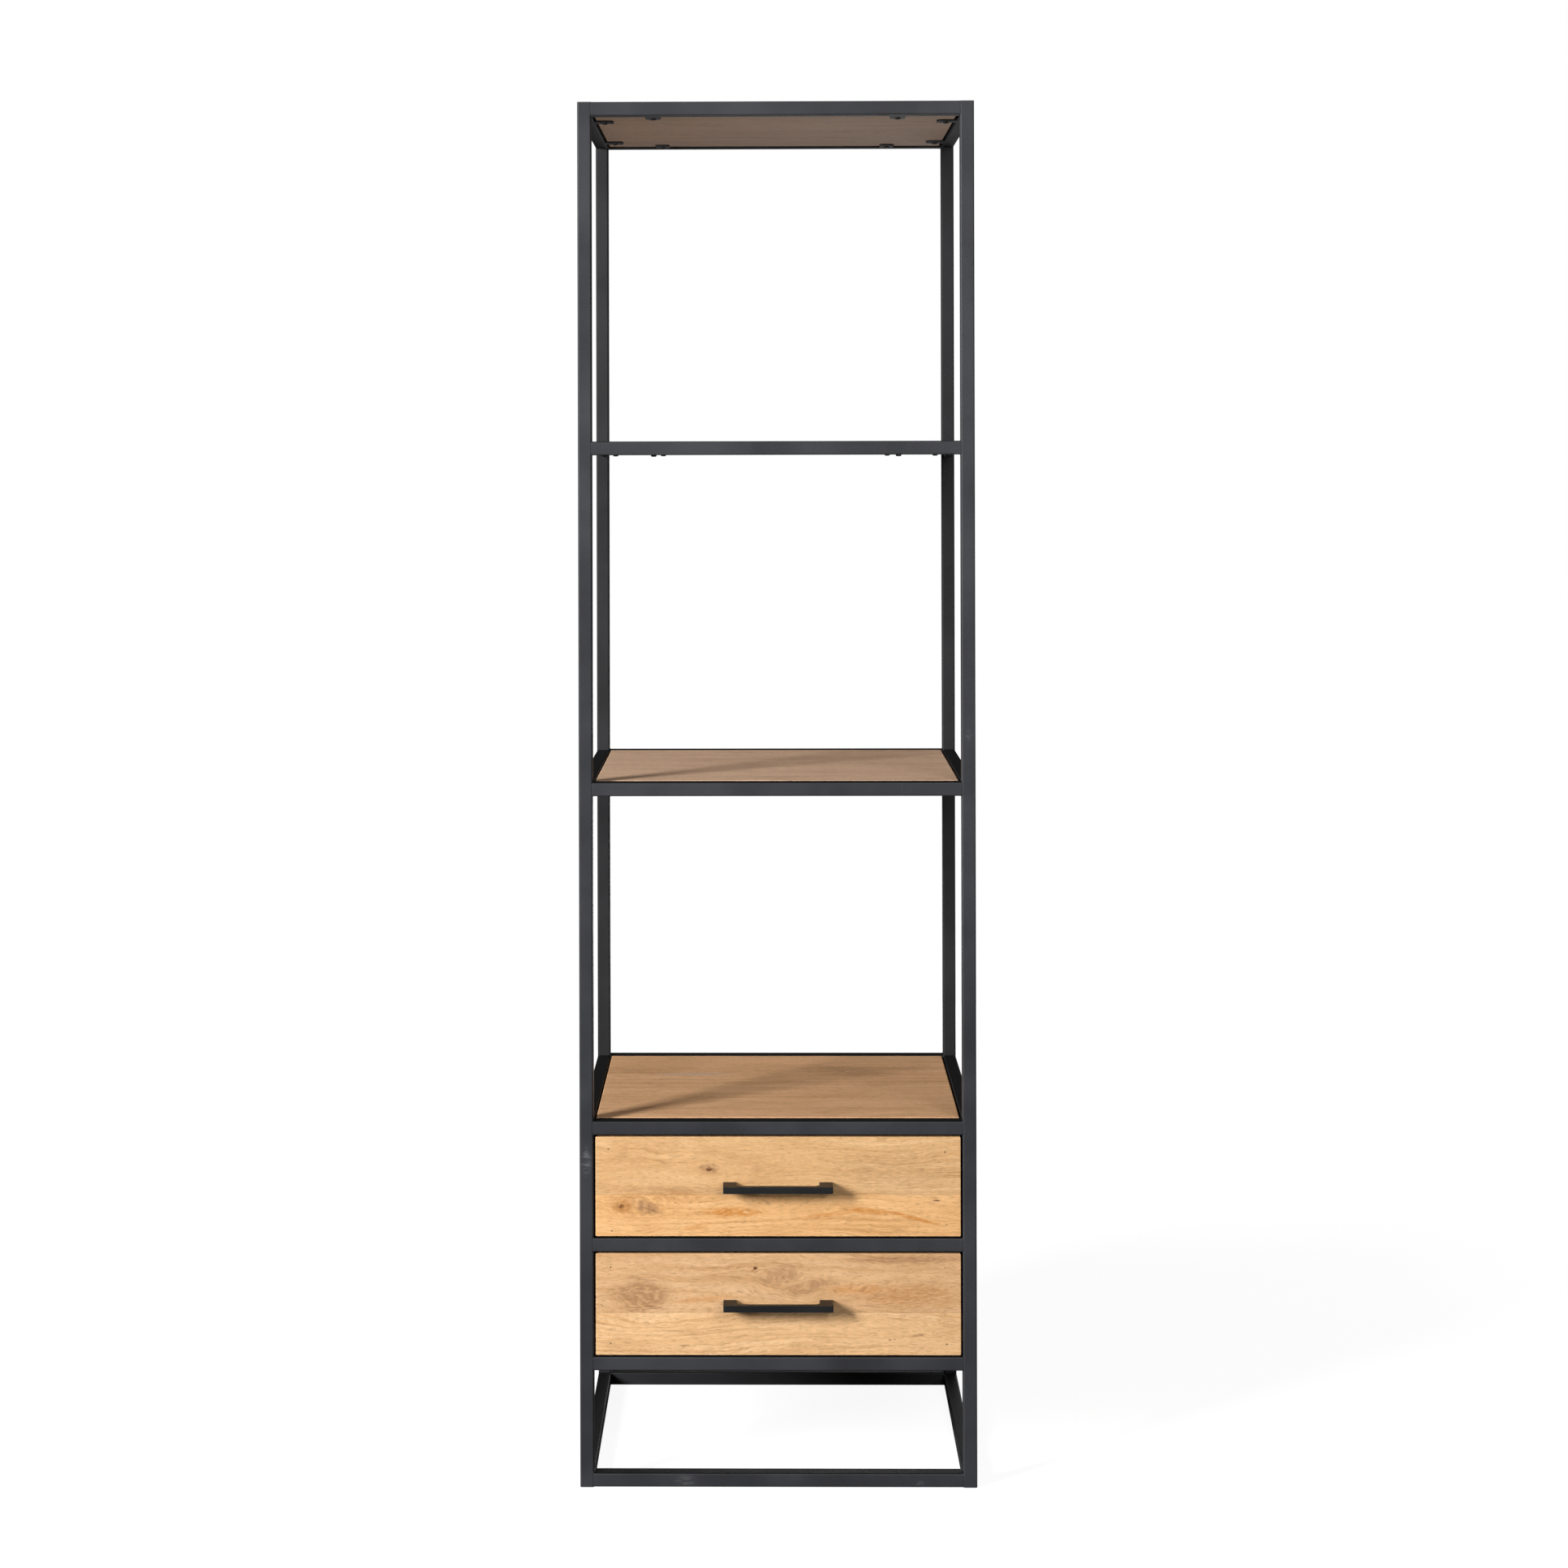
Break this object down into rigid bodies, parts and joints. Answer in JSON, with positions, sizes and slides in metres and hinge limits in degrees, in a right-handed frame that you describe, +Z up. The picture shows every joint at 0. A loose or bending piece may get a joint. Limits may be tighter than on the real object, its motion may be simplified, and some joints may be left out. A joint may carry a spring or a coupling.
{
  "type": "bookcase",
  "caption": "Tall, narrow bookcase: welded black square steel tube frame with fixed wooden shelves let into it, and a low cabinet with sliding wooden drawers above an open base.",
  "frame": {"origin": "on the floor, at the centre of the box around the whole object, handles included", "axes": "+Z up along the posts; -Y the front, where the drawers are; +X to the right as seen from the front"},
  "size_m": [0.573, 0.4232, 2],
  "materials": {
    "frame_steel": "black powder coat, satin, fine texture",
    "handle_steel": "black powder coat, satin",
    "shelf_wood": "oiled mango wood, matt",
    "cabinet_wood": "oiled mango wood, matt",
    "drawer_front_wood": "oiled light mango wood with knots and dark figure, matt",
    "drawer_box_wood": "sanded mango wood",
    "drawer_plywood": "sanded plywood",
    "slide_steel": "bright zinc-plated sheet steel"
  },
  "bodies": {
    "frame": {"back_left_post": "frame_steel", "back_right_post": "frame_steel", "base_back_rail": "frame_steel", "base_front_rail": "frame_steel", "base_left_rail": "frame_steel", "base_right_rail": "frame_steel", "cabinet_back_panel": "cabinet_wood", "cabinet_bottom_back_rail": "frame_steel", "cabinet_bottom_front_rail": "frame_steel", "cabinet_bottom_left_rail": "frame_steel", "cabinet_bottom_right_rail": "frame_steel", "cabinet_left_panel": "cabinet_wood", "cabinet_right_panel": "cabinet_wood", "cabinet_top_back_rail": "frame_steel", "cabinet_top_front_rail": "frame_steel", "cabinet_top_left_rail": "frame_steel", "cabinet_top_panel": "shelf_wood", "cabinet_top_right_rail": "frame_steel", "drawer_divider_rail": "frame_steel", "front_left_post": "frame_steel", "front_right_post": "frame_steel", "lower_drawer_left_slide_outer": "slide_steel", "lower_drawer_right_slide_outer": "slide_steel", "lower_shelf_back_rail": "frame_steel", "lower_shelf_front_rail": "frame_steel", "lower_shelf_left_rail": "frame_steel", "lower_shelf_panel": "shelf_wood", "lower_shelf_right_rail": "frame_steel", "top_back_rail": "frame_steel", "top_front_rail": "frame_steel", "top_left_rail": "frame_steel", "top_panel": "shelf_wood", "top_right_rail": "frame_steel", "upper_drawer_left_slide_outer": "slide_steel", "upper_drawer_right_slide_outer": "slide_steel", "upper_shelf_back_rail": "frame_steel", "upper_shelf_front_rail": "frame_steel", "upper_shelf_left_rail": "frame_steel", "upper_shelf_panel": "shelf_wood", "upper_shelf_right_rail": "frame_steel"},
    "upper_drawer": {"upper_drawer_back": "drawer_box_wood", "upper_drawer_bottom": "drawer_plywood", "upper_drawer_front": "drawer_front_wood", "upper_drawer_handle": "handle_steel", "upper_drawer_left_side": "drawer_box_wood", "upper_drawer_left_slide_inner": "slide_steel", "upper_drawer_right_side": "drawer_box_wood", "upper_drawer_right_slide_inner": "slide_steel"},
    "lower_drawer": {"lower_drawer_back": "drawer_box_wood", "lower_drawer_bottom": "drawer_plywood", "lower_drawer_front": "drawer_front_wood", "lower_drawer_handle": "handle_steel", "lower_drawer_left_side": "drawer_box_wood", "lower_drawer_left_slide_inner": "slide_steel", "lower_drawer_right_side": "drawer_box_wood", "lower_drawer_right_slide_inner": "slide_steel"},
    "upper_slide_middles": {"upper_drawer_left_slide_middle": "slide_steel", "upper_drawer_right_slide_middle": "slide_steel"},
    "lower_slide_middles": {"lower_drawer_left_slide_middle": "slide_steel", "lower_drawer_right_slide_middle": "slide_steel"}
  },
  "joints": [
    {"name": "upper_drawer_slide", "type": "slide", "parent": "frame", "child": "upper_drawer", "axis": [0, -1, 0], "range_m": [0, 0.35]},
    {"name": "lower_drawer_slide", "type": "slide", "parent": "frame", "child": "lower_drawer", "axis": [0, -1, 0], "range_m": [0, 0.35]},
    {"name": "upper_slide_middles_slide", "type": "slide", "parent": "frame", "child": "upper_slide_middles", "axis": [0, -1, 0], "range_m": [0, 0.175]},
    {"name": "lower_slide_middles_slide", "type": "slide", "parent": "frame", "child": "lower_slide_middles", "axis": [0, -1, 0], "range_m": [0, 0.175]}
  ],
  "couplings": [
    {"joint": "upper_slide_middles_slide", "follows": "upper_drawer_slide", "ratio": 0.5},
    {"joint": "lower_slide_middles_slide", "follows": "lower_drawer_slide", "ratio": 0.5}
  ]
}
